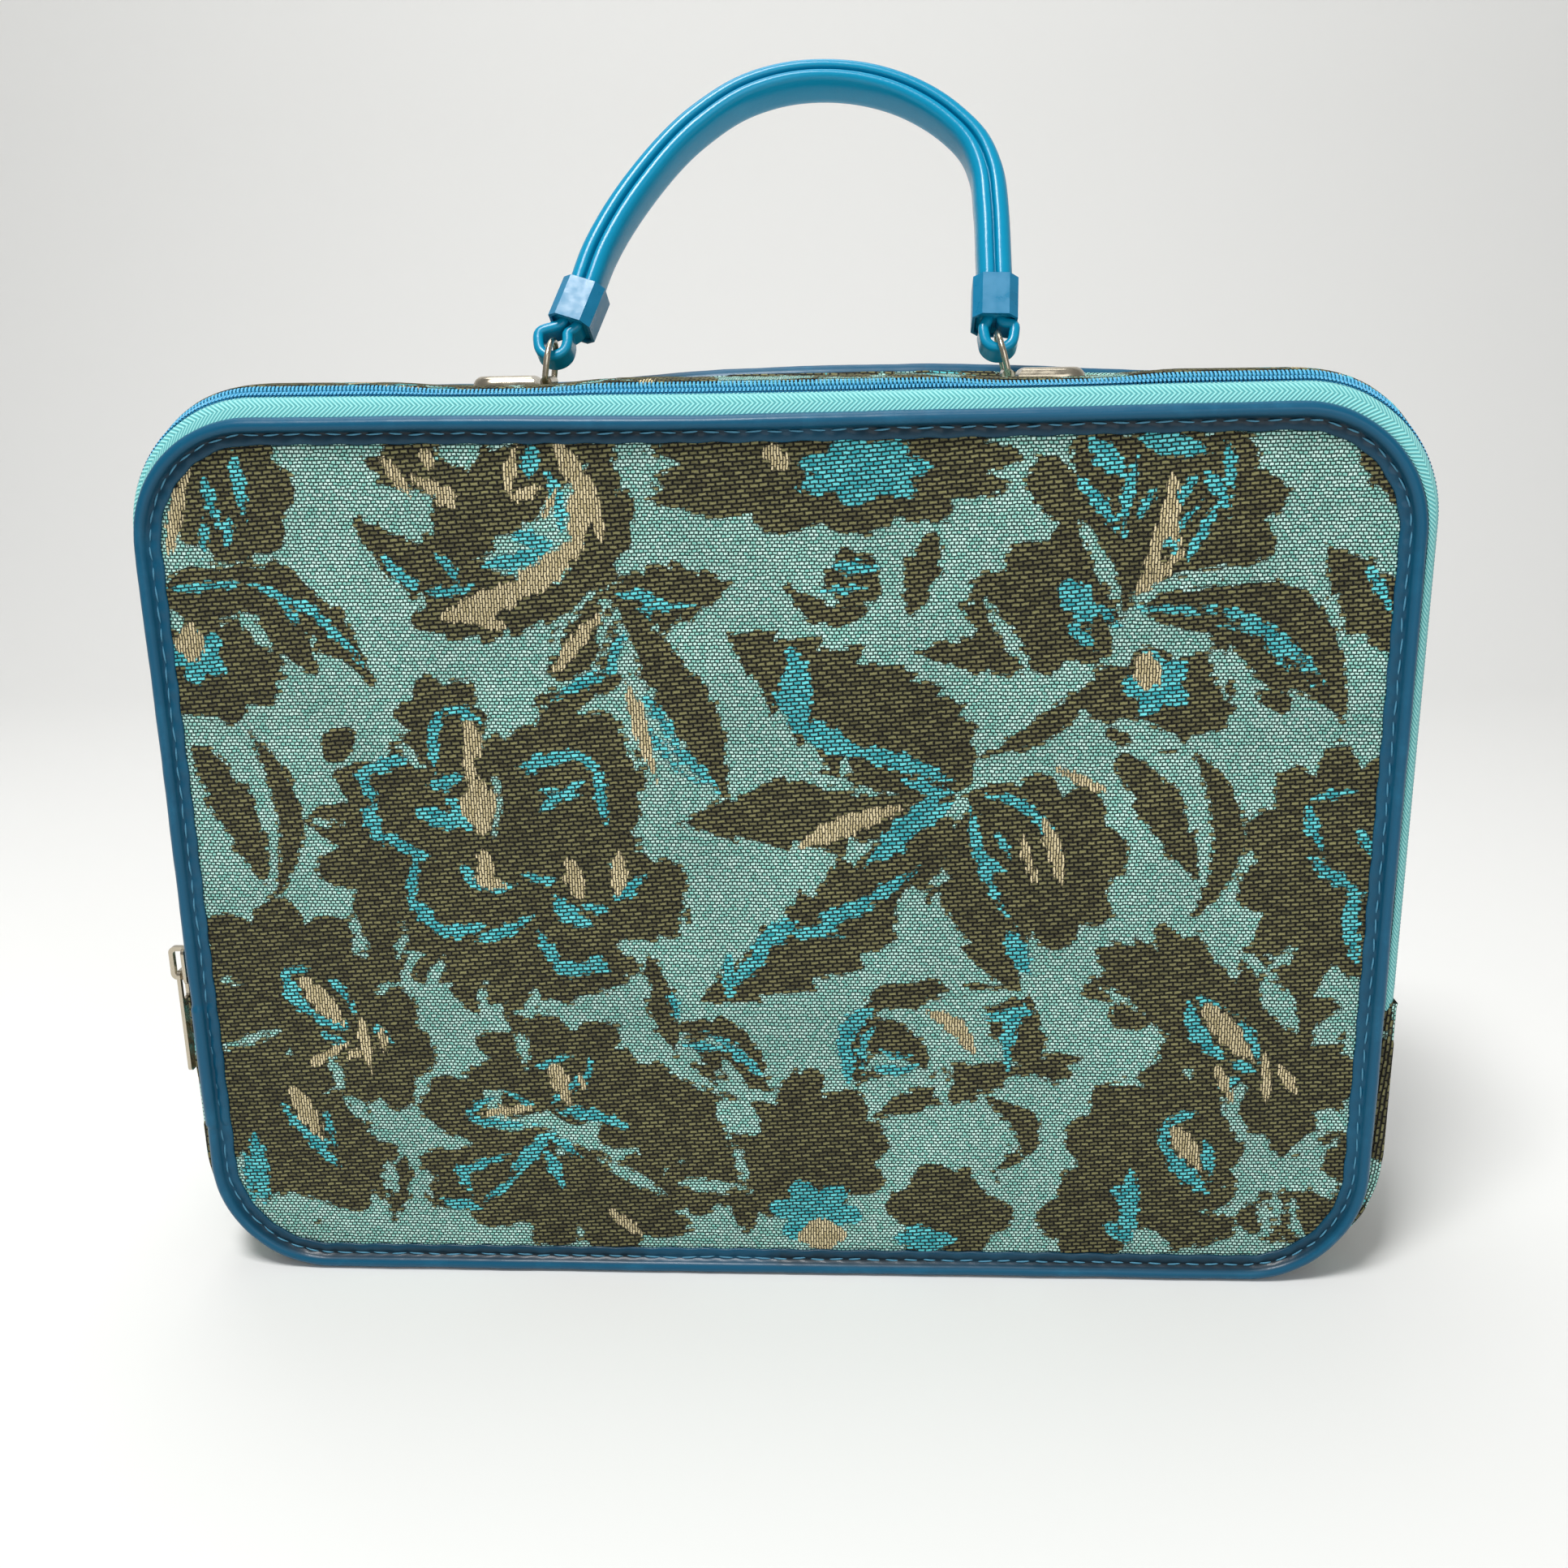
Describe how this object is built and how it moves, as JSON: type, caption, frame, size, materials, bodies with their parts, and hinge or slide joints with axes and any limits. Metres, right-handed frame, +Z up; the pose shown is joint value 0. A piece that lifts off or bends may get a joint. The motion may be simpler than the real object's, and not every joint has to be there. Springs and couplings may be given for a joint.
{
  "type": "zip-round travel case",
  "caption": "Soft-sided rounded brocade travel bag with blue piped edges, a zip round its front and a looped strap handle on rings.",
  "frame": {"origin": "centre of the flat underside of the side band, on the surface the bag stands on", "axes": "+Z up, the front panel faces -Y, +X to the right when the front is looked at; the zip slider is at -X"},
  "size_m": [0.4129, 0.1062, 0.4035],
  "materials": {
    "binding": "soft blue vinyl, lightly grained",
    "brocade": "woven brocade, mint ground with olive, turquoise and beige flowers",
    "figure_olive": "olive brown figure yarn of the brocade, in flat rows",
    "figure_blue": "turquoise figure yarn of the brocade",
    "figure_beige": "beige figure yarn of the brocade, upright rows",
    "board": "grey-brown bag board",
    "stiffener": "flexible fibre board",
    "lining": "plain woven lining",
    "zip_tape": "herringbone zip tape",
    "zip_coil": "moulded coil",
    "nickel": "pale nickel plate, lightly worn",
    "clip_enamel": "blue enamelled sheet, glossy",
    "rivet_steel": "plain steel",
    "handle_vinyl": "glossy padded vinyl"
  },
  "bodies": {
    "case": {"back_binding": "binding", "back_fabric": "brocade", "back_board": "board", "back_lining": "lining", "gusset_fabric": "brocade", "gusset_stiffener": "stiffener", "gusset_lining": "lining", "front_fabric_lower": "brocade", "front_board_lower": "board", "front_lining_lower": "lining", "front_binding_lower": "binding", "front_olive_flowers_lower": "figure_olive", "front_blue_petals_lower": "figure_blue", "front_beige_hearts_lower": "figure_beige", "body_zip_tape": "zip_tape", "body_zip_row": "zip_coil", "handle_plate_left": "nickel", "handle_plate_right": "nickel", "handle_rivets_left": "rivet_steel", "handle_rivets_right": "rivet_steel", "handle_washer_left": "rivet_steel", "handle_washer_right": "rivet_steel"},
    "lid": {"front_fabric": "brocade", "front_olive_flowers": "figure_olive", "front_blue_petals": "figure_blue", "front_beige_hearts": "figure_beige", "front_board": "board", "front_lining": "lining", "front_binding": "binding", "lid_zip_tape": "zip_tape", "lid_zip_row": "zip_coil"},
    "handle": {"handle_strap": "handle_vinyl", "handle_clip_left": "clip_enamel", "handle_clip_right": "clip_enamel"},
    "ring_left": {"ring_left": "nickel"},
    "ring_right": {"ring_right": "nickel"},
    "slider": {"zip_slider": "nickel"},
    "pull": {"zip_pull": "nickel"}
  },
  "joints": [
    {"name": "front_fold", "type": "hinge", "parent": "case", "child": "lid", "pos_m": [0, -0.05, 0.1], "axis": [1, 0, 0], "range_deg": [0, 90]},
    {"name": "handle_swing", "type": "hinge", "parent": "case", "child": "handle", "pos_m": [0, 0, 0.30609], "axis": [1, 0, 0], "range_deg": [0, 56]},
    {"name": "ring_left_tilt", "type": "hinge", "parent": "case", "child": "ring_left", "pos_m": [-0.0748, 0, 0.3006], "axis": [0, 1, 0], "range_deg": [-3, 3]},
    {"name": "ring_right_tilt", "type": "hinge", "parent": "case", "child": "ring_right", "pos_m": [0.0748, 0, 0.3006], "axis": [0, 1, 0], "range_deg": [-3, 3]},
    {"name": "slider_travel", "type": "slide", "parent": "case", "child": "slider", "axis": [0, 0, 1], "range_m": [0, 0.13]},
    {"name": "pull_swing", "type": "hinge", "parent": "slider", "child": "pull", "pos_m": [-0.20625, -0.0361, 0.107], "axis": [0, 1, 0], "range_deg": [0, 160]}
  ]
}
